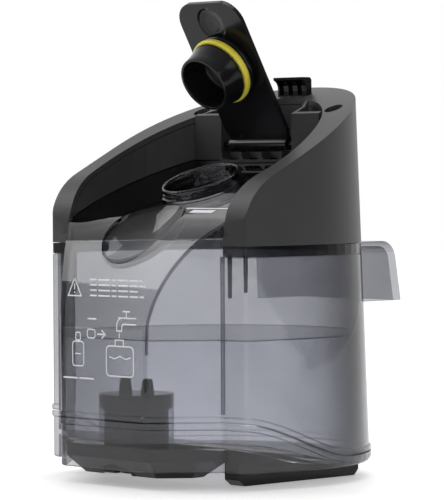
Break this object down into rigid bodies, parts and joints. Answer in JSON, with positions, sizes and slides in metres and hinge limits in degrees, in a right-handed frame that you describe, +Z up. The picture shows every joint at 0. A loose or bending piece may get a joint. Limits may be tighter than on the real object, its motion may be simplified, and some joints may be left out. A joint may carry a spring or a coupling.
{
  "type": "carpet cleaner clean-water tank",
  "caption": "Removable smoke-clear water tank with a swept black collar, hinged fill flap and plug, release latch, rear grip and a sprung outlet valve.",
  "frame": {"origin": "centre of the bounding box's footprint, on the plane that the two base rails stand on", "axes": "+X to the tank's left-to-right as seen from its flat front face, +Y from the front face to the rear grip, +Z up"},
  "size_m": [0.1582, 0.1762, 0.2381],
  "materials": {
    "smoke_clear": "polished, smoke tinted, see-through",
    "satin_black": "satin, finely grained",
    "gloss_black": "glossy",
    "smoke_dark": "dark smoke tint",
    "yellow_silicone": "soft satin silicone",
    "grey_rubber": "matt",
    "spring_steel": "bright drawn wire",
    "dark_steel": "blackened screws and hinge pin"
  },
  "bodies": {
    "tank": {"tank_shell": "smoke_clear", "filler_neck": "smoke_clear", "bottom_pan": "smoke_clear", "grip_pocket": "smoke_clear", "collar_housing": "satin_black", "collar_liner": "satin_black", "collar_gasket": "grey_rubber", "hinge_bracket_left": "satin_black", "hinge_bracket_right": "satin_black", "collar_boss_left": "satin_black", "collar_boss_right": "satin_black", "collar_screw_left": "dark_steel", "collar_screw_right": "dark_steel", "hinge_cradle": "satin_black", "hinge_pin": "dark_steel", "latch_seat": "satin_black", "latch_spring": "spring_steel", "valve_housing": "smoke_dark", "strainer_disc": "gloss_black", "valve_ear_left": "gloss_black", "valve_ear_right": "gloss_black", "valve_spring": "spring_steel", "outlet_seal": "grey_rubber", "base_tray": "satin_black", "base_rail_left": "satin_black", "base_rail_right": "satin_black"},
    "lid": {"lid_flap": "gloss_black", "lid_plug": "gloss_black", "seal_ring": "yellow_silicone", "vent_valve": "grey_rubber"},
    "latch": {"latch_block": "gloss_black"},
    "valve": {"valve_plunger": "gloss_black", "valve_seal": "grey_rubber"}
  },
  "joints": [
    {"name": "lid_hinge", "type": "hinge", "parent": "tank", "child": "lid", "pos_m": [0, 0.02245, 0.1666], "axis": [1, 0, 0], "range_deg": [-12, 80]},
    {"name": "latch_press", "type": "slide", "parent": "tank", "child": "latch", "axis": [0, 0, -1], "range_m": [0, 0.004], "stiffness_N_per_m": 600, "springref_m": -0.002, "deforming": ["latch_spring"]},
    {"name": "valve_lift", "type": "slide", "parent": "tank", "child": "valve", "axis": [0, 0, 1], "range_m": [0, 0.005], "stiffness_N_per_m": 300, "springref_m": -0.002, "deforming": ["valve_spring"]}
  ]
}
